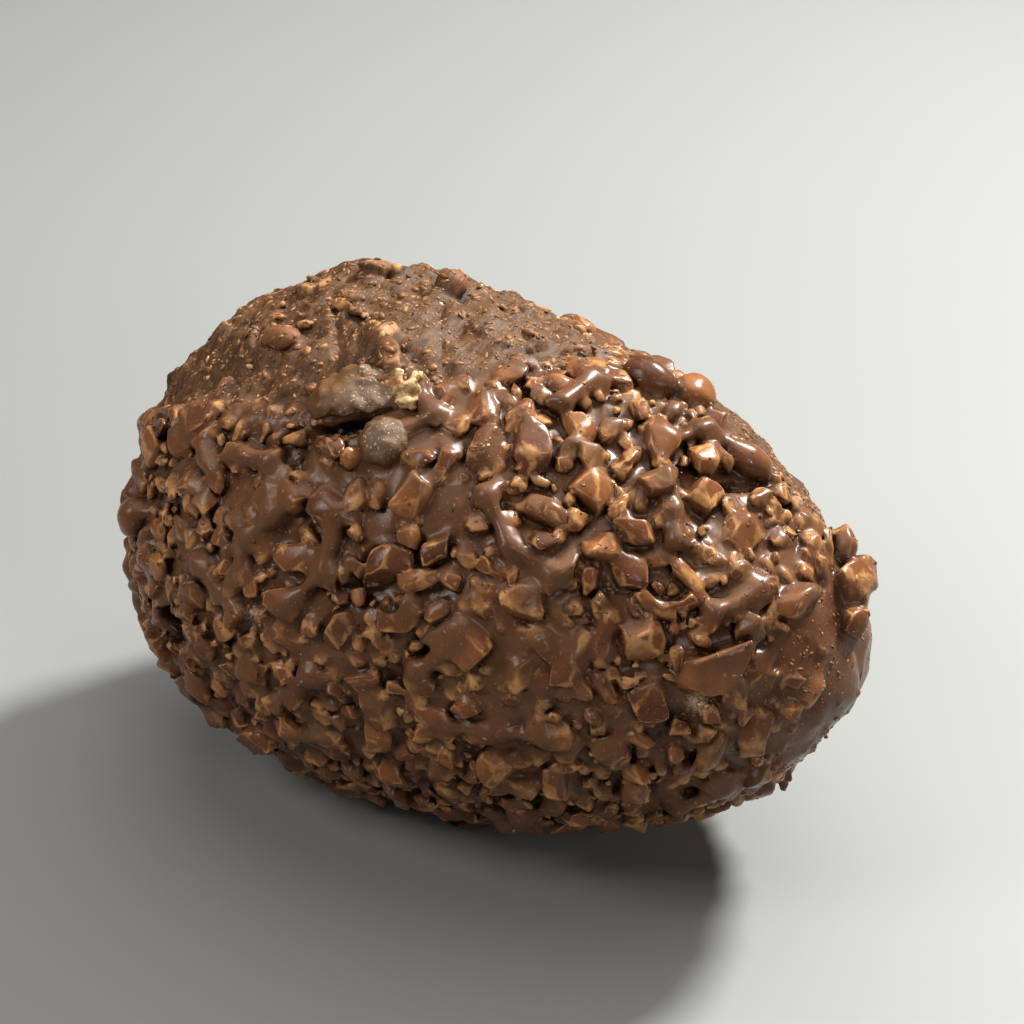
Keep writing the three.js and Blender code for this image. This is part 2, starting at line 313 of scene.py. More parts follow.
def runDirection(piece, luck):  # towards the side of a nut that the chocolate covers
    along, around = piece["at"]
    axes = surfaceAxes(along, around)
    up = axes[:, 1] * (1 if math.cos(math.radians(around)) > 0 else -1)
    turn = math.radians(luck.uniform(-1, 1) * chop["runSpread"])
    return up * math.cos(turn) + axes[:, 0] * math.sin(turn)


def addPiece(pieces, draw, along, around, long, wide, proud, turn, isRound=False):
    tall = max(wide * nuts["roundness"], proud * nuts["leastRoot"])
    axes = surfaceAxes(along, around)
    spin = np.array(Matrix.Rotation(math.radians(turn), 3, "Z"))
    foot = surfacePoint(along, around)
    pieces.append({
        "at": (along, around), "place": foot, "long": long, "wide": wide, "round": isRound,
        "middle": foot + axes[:, 2] * (tall / 2 - proud), "axes": axes @ spin,
        "half": np.array([long, wide, tall]) / 2, "faces": chopShape(draw),
    })


def isCrowded(place, long, spacing, places, longs):
    apart = np.linalg.norm(places - place, axis=1)
    return (apart < spacing * (longs + long) / 2).any()


gapPlaces = np.array([surfacePoint(along, around) for along, around, *_ in hollows])
gapLongs = np.array([row[2] for row in hollows])
oddPlaces = [(-23, 118), (-13, 128), (-14, 114)]  # these get a mesh of their own


def largePieces():  # placed ones first, then scattered ones from the largest down
    pieces = []
    draw = makeRandom(nuts["seed"])
    for row in roundNuts:
        addPiece(pieces, draw, *row, isRound=True)
    for row in placedPieces:
        addPiece(pieces, draw, *row)
    places = [*gapPlaces, *(piece["place"] for piece in pieces)]
    longs = [*gapLongs, *(piece["long"] for piece in pieces)]
    tries = 0
    while tries < nuts["mostTries"] and len(pieces) < nuts["fused"]:
        tries += 1
        along = (2 * next(draw) - 1) * egg["halfLength"]
        around = 360 * next(draw)
        draws = [next(draw) for _ in range(5)]
        long = nuts["longest"] + (nuts["shortest"] - nuts["longest"]) * len(pieces) / nuts["fused"]
        long *= nuts["leastLong"] + nuts["longRange"] * draws[0]
        onBand = draws[2] < 1 - nuts["endThinning"] * (along / egg["halfLength"]) ** 2
        covered = along < narrowEndStart and bareness(along, around) < draws[3] * nuts["strayShare"]
        if not onBand or not covered:
            continue
        place = surfacePoint(along, around)
        if isCrowded(place, long, nuts["spacing"], np.array(places), np.array(longs)):
            continue
        proud = long * (nuts["leastProud"] + nuts["proudRange"] * draws[4])
        wide = long * (nuts["leastWide"] + nuts["wideRange"] * draws[1])
        addPiece(pieces, draw, along, around, long, wide, proud, 180 * next(draw))
        places.append(place)
        longs.append(long)
    return pieces


def calmPlaces():
    luck = np.random.default_rng(calm["seed"])
    spots = np.array(calm["spots"] + [
        (luck.uniform(*calm["span"]) * egg["halfLength"], luck.uniform(*calm["sides"]) % 360)
        for _ in range(calm["more"])
    ])
    return surfacePoint(spots[:, 0], spots[:, 1])


def smallPieces(large, quiet):
    luck = np.random.default_rng(bits["seed"])
    draw = makeRandom(bits["seed"])
    tries = bits["mostTries"]
    along = luck.uniform(-1, 1, tries) * egg["halfLength"]
    around = luck.uniform(0, 360, tries)
    bare = bareness(along, around)
    placeOf = surfacePoint(along, around)
    chance = luck.uniform(size=(tries, 3))
    onBand = luck.uniform(size=tries) < 1 - nuts["endThinning"] * (along / egg["halfLength"]) ** 2
    places = np.full((len(large) + bits["count"], 3), 1e6)
    longs = np.zeros(len(places))
    places[:len(large)] = [piece["place"] for piece in large]
    longs[:len(large)] = [
        piece["long"] * (bits["oddRoom"] if piece["at"] in oddPlaces else 1) for piece in large
    ]
    pieces = []
    for row in placedBits:
        count = len(large) + len(pieces)
        addPiece(pieces, draw, *row)
        places[count], longs[count] = pieces[-1]["place"], row[2]
    bareLimit, bareRange = bits["bareLimit"]
    quietLimit, quietRange = calm["quietness"]
    for i in np.flatnonzero(onBand):
        if len(pieces) == bits["count"]:
            break
        share = (len(pieces) / bits["count"]) ** bits["lengthCurve"]
        long = bits["longest"] + (bits["shortest"] - bits["longest"]) * share
        if long < bits["crumbly"]:
            covered = bare[i] < bits["crumblyBare"] + chance[i, 0]
            covered = covered and (along[i] < narrowEndStart or chance[i, 0] > bits["crumblyEnd"])
        else:
            covered = bare[i] < bareLimit + bareRange * chance[i, 0] ** 2
            covered = covered and along[i] < narrowEndStart + bits["intoEnd"] * chance[i, 0]
        quietness = math.exp(-(np.linalg.norm(quiet - placeOf[i], axis=1).min() / calm["reach"]) ** 2)
        if not covered or quietness > quietLimit + quietRange * chance[i, 1]:
            continue
        count = len(large) + len(pieces)
        if isCrowded(placeOf[i], long, bits["spacing"], places[:count], longs[:count]):
            continue
        if isCrowded(placeOf[i], long, bits["spacing"], gapPlaces, gapLongs):
            continue
        proud = long * (bits["leastProud"] + bits["proudRange"] * chance[i, 2])
        proud *= 1 - bits["lowerWhereBare"] * bare[i]
        wide = long * (bits["leastWide"] + bits["wideRange"] * chance[i, 1])
        addPiece(pieces, draw, along[i], around[i], long, wide, proud, 180 * chance[i, 0])
        places[count], longs[count] = placeOf[i], long
    return pieces


# every shape is a field of distances to its surface, kept on one grid

coat = {
    "hollowBlend": 0.8,
    "hollowRise": 1.0,  # a hollow's middle lies this far above the skin
    "waves": ((13, 0.8), (5.5, 0.6), (2.8, 0.2)),  # wave length and height in the chocolate alone
    "nutWaves": ((4.6, 0.5), (2, 0.2)),  # and in the nuts and what covers them
    "runs": 110,  # necks of chocolate from one nut to the next
    "runSize": (1.0, 1.9),
    "runReach": (7, 14),
    "runRise": 0.9,  # how far its ends lie above the surface, as a share of its size
    "runWaist": 0.75,  # how thick its middle is
    "runFlare": 0.7,  # and how much thicker its ends
    "runBlend": 2.4,
    "seed": 5,
    "triangles": 198000,  # the most in one piece
    "oddTriangles": 40000,
    "flatness": 0.03,  # how readily the mesher joins flat faces
}


class Grid:  # evenly spaced points in a box, for fields of distances
    def __init__(self, low, high, step):
        self.step = step
        self.low = np.array(low, dtype=float)
        self.shape = tuple(int(round((b - a) / step)) for a, b in zip(low, high))
        self.x, self.y, self.z = (
            (self.low[i] + step * np.arange(self.shape[i])).astype(np.float32) for i in range(3)
        )
        self.whole = tuple(slice(0, count) for count in self.shape)

    def block(self, low, high):
        first = np.floor((np.array(low) - self.low) / self.step).astype(int)
        last = np.ceil((np.array(high) - self.low) / self.step).astype(int) + 1
        return tuple(slice(max(a, 0), min(b, count)) for a, b, count in zip(first, last, self.shape))

    def offsets(self, block, middle):
        return (
            self.x[block[0]][:, None, None] - np.float32(middle[0]),
            self.y[block[1]][None, :, None] - np.float32(middle[1]),
            self.z[block[2]][None, None, :] - np.float32(middle[2]),
        )

    def around(self, block):  # degrees round the egg's axis, for a block's y and z
        angle = np.arctan2(self.z[block[2]][None, :], self.y[block[1]][:, None])
        return np.degrees(angle) % 360

    def noise(self, wave, luck, block=None):  # smooth random waves; their length may differ by axis
        def weights(count, length):
            knots = int(math.ceil(count * self.step / length)) + 4
            at = np.arange(count) * self.step / length + 1
            first = at.astype(int)
            t = at - first
            table = np.zeros((count, knots), dtype=np.float32)
            rows = np.arange(count)
            table[rows, first - 1] = (1 - t) ** 3 / 6
            table[rows, first] = (3 * t ** 3 - 6 * t ** 2 + 4) / 6
            table[rows, first + 1] = (-3 * t ** 3 + 3 * t ** 2 + 3 * t + 1) / 6
            table[rows, first + 2] = t ** 3 / 6
            return table
        shape = [part.stop - part.start for part in (block or self.whole)]
        tables = [weights(count, length) for count, length in zip(shape, np.broadcast_to(wave, 3))]
        knots = luck.uniform(-1, 1, [table.shape[1] for table in tables]).astype(np.float32)
        noise = np.tensordot(tables[0], knots, (1, 0))
        noise = np.einsum("jb,abc->ajc", tables[1], noise, optimize=True)
        return (noise @ tables[2].T) * np.float32(2.5)

    def sample(self, field, points):  # the field at any points, between the grid's own
        at = np.clip((points - self.low) / self.step, 0, np.array(self.shape) - 1.001)
        first = at.astype(np.int32)
        share = (at - first).astype(np.float32)
        total = np.zeros(len(points), dtype=np.float32)
        for corner in range(8):
            shift = np.array([corner & 1, corner >> 1 & 1, corner >> 2 & 1])
            weight = np.prod(np.where(shift, share, 1 - share), axis=1)
            cell = first + shift
            total += weight * field[cell[:, 0], cell[:, 1], cell[:, 2]]
        return total

    def nearest(self, field, points):
        cell = np.rint((points - self.low) / self.step).astype(int)
        cell = np.clip(cell, 0, np.array(self.shape) - 1)
        return field[cell[:, 0], cell[:, 1], cell[:, 2]]

    def mesh(self, name, field, triangles):  # the surface where the field is 0
        volume = openvdb.FloatGrid(background=2.0)
        volume.copyFromArray(np.clip(field, -2, 2).astype(np.float32, copy=False), tolerance=1e-4)
        points, threes, fours = volume.convertToPolygons(0.0, coat["flatness"])
        points = np.asarray(points, dtype=np.float64) * self.step + self.low
        parts = [np.asarray(part, dtype=np.int32) for part in (threes, fours) if len(part)]
        sides = np.concatenate([np.full(len(part), part.shape[1]) for part in parts])
        mesh = bpy.data.meshes.new(name)
        mesh.vertices.add(len(points))
        mesh.vertices.foreach_set("co", points.astype(np.float32).ravel())
        mesh.loops.add(int(sides.sum()))
        mesh.loops.foreach_set("vertex_index", np.concatenate([part.ravel() for part in parts]))
        mesh.polygons.add(len(sides))
        mesh.polygons.foreach_set("loop_start", (np.cumsum(sides) - sides).astype(np.int32))
        mesh.update(calc_edges=True)
        piece = bpy.data.objects.new(name, mesh)
        bpy.context.scene.collection.objects.link(piece)
        count = int((sides - 2).sum())
        print(name, count, "triangles")
        if count > triangles:
            thin = piece.modifiers.new("thin", "DECIMATE")
            thin.ratio = triangles / count
            evaluated = piece.evaluated_get(bpy.context.evaluated_depsgraph_get())
            piece.data = bpy.data.meshes.new_from_object(evaluated)
            piece.modifiers.clear()
            piece.data.name = name
            print(name, len(piece.data.polygons), "faces")
        return piece


space = {"low": (-104, -73, -69), "high": (104.6, 73, 75), "step": 0.42}
whole = Grid(**space)


def softMin(a, b, width):
    overlap = np.maximum(width - np.abs(a - b), 0) / width
    return np.minimum(a, b) - overlap * overlap * (width / 4)


def eggField():
    across = np.hypot(whole.y[:, None], whole.z[None, :]).astype(np.float32)
    at = whole.around(whole.whole) * 4  # four steps to the degree
    first = at.astype(np.int32)
    share = (at - first).astype(np.float32)
    angles = np.arange(1442) / 4
    field = np.empty(whole.shape, dtype=np.float32)
    a, b, taper = egg["halfLength"], egg["middleRadius"], egg["taper"]
    for i, along in enumerate(whole.x.astype(float)):
        u = along / a
        level = u * u + across ** 2 * (1 + taper * u) / b ** 2 - 1
        slopeX = (2 * u + taper * across ** 2 / b ** 2) / a
        slopeR = 2 * across * (1 + taper * u) / b ** 2
        height = coatHeight(min(max(along, -a), a), angles).astype(np.float32)
        field[i] = level / np.maximum(np.hypot(slopeX, slopeR), 1e-3)
        height -= egg["sag"] * (1 - bareness(min(max(along, -a), a), angles % 360)).astype(np.float32)
        field[i] -= height[first] * (1 - share) + height[first + 1] * share
    return field


def pieceField(grid, piece, block, radius):  # distance to one piece, and how far its nearest edge is
    x, y, z = grid.offsets(block, piece["middle"])
    if piece["round"]:
        first = second = 0
        for axis, half in zip(piece["axes"].T.astype(np.float32), piece["half"]):
            local = (axis[0] * x + axis[1] * y + axis[2] * z) / np.float32(half)
            first = first + local * local
            second = second + (local / np.float32(half)) ** 2
        first, second = np.sqrt(first), np.sqrt(second)
        return first * (first - 1) / np.maximum(second, 1e-4), np.full(first.shape, 9, dtype=np.float32)
    beyond = nearest = runnerUp = None
    outward = x * x + y * y + z * z
    for face, bulge in zip(piece["broken"], piece["bulges"]):
        direction = piece["axes"] @ (face / piece["half"])
        length = np.linalg.norm(direction)
        nx, ny, nz = (direction / length).astype(np.float32)
        away = nx * x + ny * y + nz * z
        away += (outward - away * away) * np.float32(bulge / 2) + np.float32(radius - 1 / length)
        push = np.maximum(away, 0)
        if nearest is None:
            beyond, nearest, runnerUp = push * push, away, np.full(away.shape, -99, dtype=np.float32)
        else:
            beyond += push * push
            runnerUp = np.maximum(runnerUp, np.minimum(nearest, away))
            nearest = np.maximum(nearest, away)
    field = np.sqrt(beyond) + np.minimum(nearest, 0) - np.float32(radius)
    for place, size in piece["bites"]:
        cx, cy, cz = np.float32(place)
        bite = np.float32(size) - np.sqrt((x - cx) ** 2 + (y - cy) ** 2 + (z - cz) ** 2)
        nearBite = bite > field - 1
        runnerUp = np.where(nearBite, np.maximum(nearest - np.abs(field - bite), runnerUp), runnerUp)
        field = -softMin(-field, -bite, np.float32(0.4))
    return field, nearest - runnerUp


edgeSteps = 50  # to the millimetre, in which the distance to an edge is kept


class NutLayer:  # the nuts of one size: distance to them, to their edges, and each one's tint
    def __init__(self):
        self.field = np.full(whole.shape, 4, dtype=np.float16)
        self.edge = np.full(whole.shape, 255, dtype=np.uint8)
        self.tint = np.zeros(whole.shape, dtype=np.uint8)

    def stamp(self, pieces, skin, luck):  # adds pieces to the coat and to this layer
        for piece in pieces:
            small = min(1, piece["long"] / chop["smallUnder"])
            barePool, coveredPool = (width * small for width in chop["pool"])
            reach = np.linalg.norm(piece["half"]) * 1.05 + coveredPool
            block = whole.block(piece["middle"] - reach, piece["middle"] + reach)
            breakUp(piece, luck)
            film = min(luck.uniform(*chop["film"]), chop["mostFilm"] * piece["wide"])
            distance, toEdge = pieceField(whole, piece, block, film)
            runX, runY, runZ = (runDirection(piece, luck) / piece["long"]).astype(np.float32)
            x, y, z = whole.offsets(block, piece["middle"])
            edge = np.float32(luck.uniform(*chop["coverEdge"]))
            side = np.clip(runX * x + runY * y + runZ * z + edge, 0, 1)
            pool = barePool + (coveredPool - barePool) * side
            thickness = chop["cover"] * max(small, chop["leastCover"]) * luck.uniform(*chop["coverShare"])
            cover = np.float32(thickness) * side * side
            if "tint" in piece:
                cover = cover * np.float32(chop["ownTintCover"])
            coatNow = skin[block]
            near = np.maximum(1 - np.abs(distance) / np.float32(chop["moatWidth"] * small), 0)
            coatNow = coatNow + near * (1 - side) ** 2 * np.float32(chop["moat"] * small)
            skin[block] = softMin(coatNow, distance - cover, pool)
            closer = distance < self.field[block]
            self.field[block][closer] = distance[closer]
            self.edge[block][closer] = np.clip(toEdge[closer] * edgeSteps, 0, 255).astype(np.uint8)
            self.tint[block][closer] = piece.get("tint") or luck.integers(1, 255)


def layRuns(pieces, skin, luck):  # necks of chocolate that ran from nut to nut
    tops = np.array([piece["place"] for piece in pieces])
    for _ in range(coat["runs"]):
        first = luck.integers(len(pieces))
        apart = np.linalg.norm(tops - tops[first], axis=1)
        near = np.flatnonzero((apart > coat["runReach"][0]) & (apart < coat["runReach"][1]))
        size = luck.uniform(*coat["runSize"])
        if len(near) == 0:
            continue
        second = luck.choice(near)
        ends = [
            pieces[i]["place"] - surfaceAxes(*pieces[i]["at"])[:, 2] * size * coat["runRise"]
            for i in (first, second)
        ]
        middle = (ends[0] + ends[1]) / 2
        reach = ends[1] - ends[0]
        length = np.linalg.norm(reach)
        spread = length / 2 + size + coat["runBlend"]
        block = whole.block(middle - spread, middle + spread)
        x, y, z = whole.offsets(block, ends[0])
        dx, dy, dz = (reach / length).astype(np.float32)
        lengthwise = np.clip(dx * x + dy * y + dz * z, 0, np.float32(length))
        off = np.sqrt((x - dx * lengthwise) ** 2 + (y - dy * lengthwise) ** 2 + (z - dz * lengthwise) ** 2)
        flare = np.abs(lengthwise / np.float32(length) - 0.5) * np.float32(size * coat["runFlare"])
        neck = off - np.float32(size * coat["runWaist"]) - flare
        skin[block] = softMin(skin[block], neck, np.float32(coat["runBlend"]))


def holeField(grid, hollow, block, rise):  # distance to one hollow's ellipsoid
    along, around, long, wide, deep, turn = hollow
    axes = surfaceAxes(along, around) @ np.array(Matrix.Rotation(math.radians(turn), 3, "Z"))
    middle = surfacePoint(along, around) - axes[:, 2] * rise
    piece = {"middle": middle, "axes": axes, "half": (long / 2, wide / 2, deep), "round": True}
    return pieceField(grid, piece, block, 0)[0]


def cutHollow(field, hollow, rise, ragged):  # ragged: wave lengths and heights of its edge
    place = surfacePoint(hollow[0], hollow[1])
    reach = max(hollow[2], hollow[4]) + 3
    block = whole.block(place - reach, place + reach)
    hole = holeField(whole, hollow, block, rise)
    luck = np.random.default_rng(coat["seed"])
    for wave, height in ragged:
        hole = hole + whole.noise(wave, luck, block) * np.float32(height)
    field[block] = -softMin(-field[block], hole, np.float32(coat["hollowBlend"]))


def poolChocolate(skin, quiet):  # it lies thicker in the calm places
    for place in quiet:
        block = whole.block(place - calm["reach"] * 2, place + calm["reach"] * 2)
        x, y, z = whole.offsets(block, place)
        spread = np.exp(-(x * x + y * y + z * z) / np.float32(calm["reach"] ** 2))
        skin[block] -= np.float32(calm["lift"]) * spread


scraped = {
    "low": (-98, -73, 4),
    "high": (28, 73, 75),
    "lumps": ((6.5, 0.9), (2.8, 0.8), (1.4, 0.5)),  # wave length and height
    "streaks": ((1.5, 14, 14), 0.55),
    "stretch": 1.13,  # mm round the egg, for each degree
    "grooves": (  # from along, around to along, around; width, depth
        (-49, 92, -28, 122, 1.1, 1.2), (-43, 125, -34, 138, 0.9, 1.0), (-64, 102, -52, 130, 0.9, 0.7),
        (-22, 88, -8, 110, 1.0, 0.7), (-74, 84, -66, 108, 1.0, 0.6), (-38, 60, -30, 84, 1.1, 0.7),
    ),
}


def scrapeCrown(skin, luck):  # lumps, streaks and grooves that run down over the crown
    block = whole.block(scraped["low"], scraped["high"])
    wave, height = scraped["streaks"]
    relief = whole.noise(wave, luck, block) * np.float32(height)
    for wave, height in scraped["lumps"]:
        relief += whole.noise(wave, luck, block) * np.float32(height)
    around = whole.around(block)
    for i, along in enumerate(whole.x[block[0]]):
        depth = 0
        for fromAlong, fromAround, toAlong, toAround, width, deep in scraped["grooves"]:
            span = np.array([toAlong - fromAlong, (toAround - fromAround) * scraped["stretch"]])
            offX, offY = along - fromAlong, (around - fromAround) * scraped["stretch"]
            share = np.clip((offX * span[0] + offY * span[1]) / span.dot(span), 0, 1)
            off = np.hypot(offX - share * span[0], offY - share * span[1])
            depth = depth + deep * np.exp(-(off / width) ** 2)
        skin[block][i] -= (relief[i] - depth) * patchShare(crown, along, around)


ripples = {"low": (34, -73, -69), "high": (104, 73, 75), "wave": (1.8, 12, 12), "height": 0.4}


def rippleBack(skin, luck):  # fine folds behind the shoulder and round the narrow end
    block = whole.block(ripples["low"], ripples["high"])
    relief = whole.noise(ripples["wave"], luck, block) * np.float32(ripples["height"])
    around = whole.around(block)
    for i, along in enumerate(whole.x[block[0]]):
        share = np.maximum(patchShare(shoulderBack, along, around), smoothStep(76, 88, along))
        skin[block][i] -= relief[i] * share


def tableField():  # above 0 under the table, so that the egg's foot is flat
    tilt = math.radians(egg["tiltDown"])
    height = whole.z[None, :] * math.cos(tilt) - whole.x[:, None] * math.sin(tilt) + egg["centre"][2]
    return -height[:, None, :].astype(np.float32)


# the three odd pieces at the crack, with a mesh of their own
crackParts = {
    "flap": {"at": (-25, 120.5), "half": (11.5, 8.6, 5.0), "proud": 4.0, "turn": 156,
             "lumps": ((4.2, 1.3), (1.6, 0.7)), "overhang": 6.4, "jag": (2.4, 2.4)},
    "lump": {"at": (-13, 128.5), "half": (6.4, 5.6, 5), "proud": 4.6, "turn": 65,
             "lumps": ((3.2, 1.0), (1.2, 0.4))},
    "brokenNut": {"at": (-14, 116), "half": (5.4, 4.8, 4.6), "proud": 5.2, "turn": 160,
                  "lumps": ((2.2, 1.0), (1.0, 0.7))},
}
seat = {"lower": 1.6, "share": 0.86, "blend": 1.6, "reach": 12}  # where the coat comes up round them
# the hollows below are along, around, long, wide, deep, turn, as in the list of all hollows
crack = {
    "opening": (-22.5, 127.4, 19, 5.4, 6.0, 153),
    "underFlap": (-22.5, 127.4, 19, 9.0, 6.5, 153),  # it goes in under the flap
    "underRise": -4.2,
    "ragged": ((2.6, 1.1), (1.2, 0.5)),  # wave lengths and heights of its edge
    "middle": (-18, 121),  # of the finer grid that the three odd pieces are made on
    "reach": 17,
    "step": 0.2,
}
bluntEnd = {
    "hole": (-61, 189, 11.5, 10, 9, 0),
    "shade": (5.0, 6.6),  # painted shade: black within the first, of the skin's own colour beyond the second
}


def crackField(name, grid, luck):
    part = crackParts[name]
    axes = surfaceAxes(*part["at"]) @ np.array(Matrix.Rotation(math.radians(part["turn"]), 3, "Z"))
    foot = surfacePoint(*part["at"])
    middle = foot + axes[:, 2] * (part["half"][2] - part["proud"])
    shape = {"middle": middle, "axes": axes, "half": part["half"], "round": True}
    field, _ = pieceField(grid, shape, grid.whole, 0)
    for wave, height in part["lumps"]:
        field = field + grid.noise(wave, luck) * np.float32(height)
    if "overhang" in part:  # a ragged lower edge, and the crack goes in under it
        toCrack = surfacePoint(*crack["opening"][:2]) - foot
        toCrack /= np.linalg.norm(toCrack)
        x, y, z = grid.offsets(grid.whole, foot)
        tx, ty, tz = toCrack.astype(np.float32)
        wave, height = part["jag"]
        edge = tx * x + ty * y + tz * z - part["overhang"] + grid.noise(wave, luck) * np.float32(height)
        field = -softMin(-field, -edge, np.float32(0.4))
        under = holeField(grid, crack["underFlap"], grid.whole, crack["underRise"])
        field = -softMin(-field, under, np.float32(0.4))
    return field


def readPoints(piece):
    count = len(piece.data.vertices)
    points = np.empty(count * 3, dtype=np.float32)
    normals = np.empty(count * 3, dtype=np.float32)
    piece.data.vertices.foreach_get("co", points)
    piece.data.vertices.foreach_get("normal", normals)
    return points.reshape(-1, 3).astype(np.float64), normals.reshape(-1, 3).astype(np.float64)


def finishPiece(piece, material, attributes):
    points, _ = readPoints(piece)
    world = toWorld(points)
    world[:, 2] = np.maximum(world[:, 2], 0)
    piece.data.vertices.foreach_set("co", world.astype(np.float32).ravel())
    for name, values in attributes.items():
        layer = piece.data.attributes.new(name, "FLOAT", "POINT")
        layer.data.foreach_set("value", np.ascontiguousarray(values, dtype=np.float32))
    piece.data.polygons.foreach_set("use_smooth", np.ones(len(piece.data.polygons), dtype=bool))
    piece.data.update()
    piece.data.materials.clear()
    piece.data.materials.append(material)
    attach(piece, "root")


def screenColour(*levels):  # red, green and blue of 0 to 255 as the renderer's own
    shares = [level / 255 for level in levels]
    return tuple(((s + 0.055) / 1.055) ** 2.4 if s > 0.04 else s / 12.92 for s in shares)


class Wire:  # a socket that sums, products and mixes can be written with
    def __init__(self, socket, maker):
        self.socket = socket
        self.maker = maker

    def __add__(self, other):
        return self.maker.maths("ADD", self, other)

    def __radd__(self, other):
        return self.maker.maths("ADD", other, self)

    def __sub__(self, other):
        return self.maker.maths("SUBTRACT", self, other)

    def __rsub__(self, other):
        return self.maker.maths("SUBTRACT", other, self)

    def __mul__(self, other):
        return self.maker.maths("MULTIPLY", self, other)

    def __rmul__(self, other):
        return self.maker.maths("MULTIPLY", other, self)

    def clamped(self):
        return self.maker.maths("MAXIMUM", self.maker.maths("MINIMUM", self, 1), 0)

    def ramp(self, low, high):  # 0 below low, 1 above high
        return ((self - low) * (1 / (high - low))).clamped()


class Maker:
    def __init__(self, name):
        self.material = bpy.data.materials.new(name)
        self.material.use_nodes = True
        self.tree = self.material.node_tree
        self.tree.nodes.clear()
        self.output = self.tree.nodes.new("ShaderNodeOutputMaterial")

    def node(self, kind, settings=None, inputs=None, result=0):
        made = self.tree.nodes.new(kind)
        for key, value in (settings or {}).items():
            setattr(made, key, value)
        for key, value in (inputs or {}).items():
            socket = made.inputs[key]
            if isinstance(value, Wire):
                self.tree.links.new(value.socket, socket)
            else:
                socket.default_value = value
        return Wire(made.outputs[result], self)

    def maths(self, operation, a, b):
        return self.node("ShaderNodeMath", {"operation": operation}, {0: a, 1: b})

    def mix(self, share, a, b):
        def full(c):
            return (*c, 1) if isinstance(c, tuple) and len(c) == 3 else c
        return self.node("ShaderNodeMix", {"data_type": "RGBA"}, {0: share, 6: full(a), 7: full(b)}, 2)

    def attribute(self, name):
        return self.node("ShaderNodeAttribute", {"attribute_name": name}, result="Fac")

    def place(self):
        return self.node("ShaderNodeTexCoord", result="Object")

    def stretched(self, scale):
        return self.node("ShaderNodeMapping", None, {"Vector": self.place(), "Scale": scale})

    def noise(self, size, detail=2, roughness=0.5, place=None):  # size in millimetres
        where = place or self.place()
        inputs = {"Vector": where, "Scale": 1000 / size, "Detail": detail, "Roughness": roughness}
        return self.node("ShaderNodeTexNoise", None, inputs)

    def bump(self, height, strength, distance):  # distance in millimetres
        inputs = {"Height": height, "Strength": strength, "Distance": distance / 1000}
        return self.node("ShaderNodeBump", None, inputs)

    def finish(self, colour, roughness, normal, specular=0.5):
        inputs = {"Base Color": colour, "Roughness": roughness, "Normal": normal}
        inputs["Specular IOR Level"] = specular
        shader = self.node("ShaderNodeBsdfPrincipled", None, inputs)
        self.tree.links.new(shader.socket, self.output.inputs["Surface"])
        return self.material


look = {
    "chocolate": screenColour(92, 60, 42),
    "oliveChocolate": screenColour(98, 68, 43),
    # painted shade: the darker brown painted into creases and recesses
    "paintedCreaseShade": screenColour(36, 16, 7),
    # painted shade: the black painted far down in hollows
    "paintedHoleShade": screenColour(16, 8, 5),
    "scraped": screenColour(94, 64, 38),
    "scrapedDark": screenColour(56, 35, 20),
    "lightFilm": screenColour(144, 92, 55),
    "filmOnNut": screenColour(112, 67, 41),
    # dark nut colour, also painted as shade low down on the nuts
    "darkFilmAndShade": screenColour(76, 42, 28),
    # thin chocolate over the nuts' edges, also a painted rim highlight
    "thinEdgeAndHighlight": screenColour(216, 162, 104),
    "crumbDark": screenColour(74, 45, 27),
    "crumbTan": screenColour(108, 70, 41),
    "crumbLight": screenColour(140, 98, 60),
    "creamNut": screenColour(208, 181, 132),
    "bloom": screenColour(106, 84, 68),
    "bloomSpeck": screenColour(182, 162, 138),
    "powder": screenColour(214, 198, 170),
}


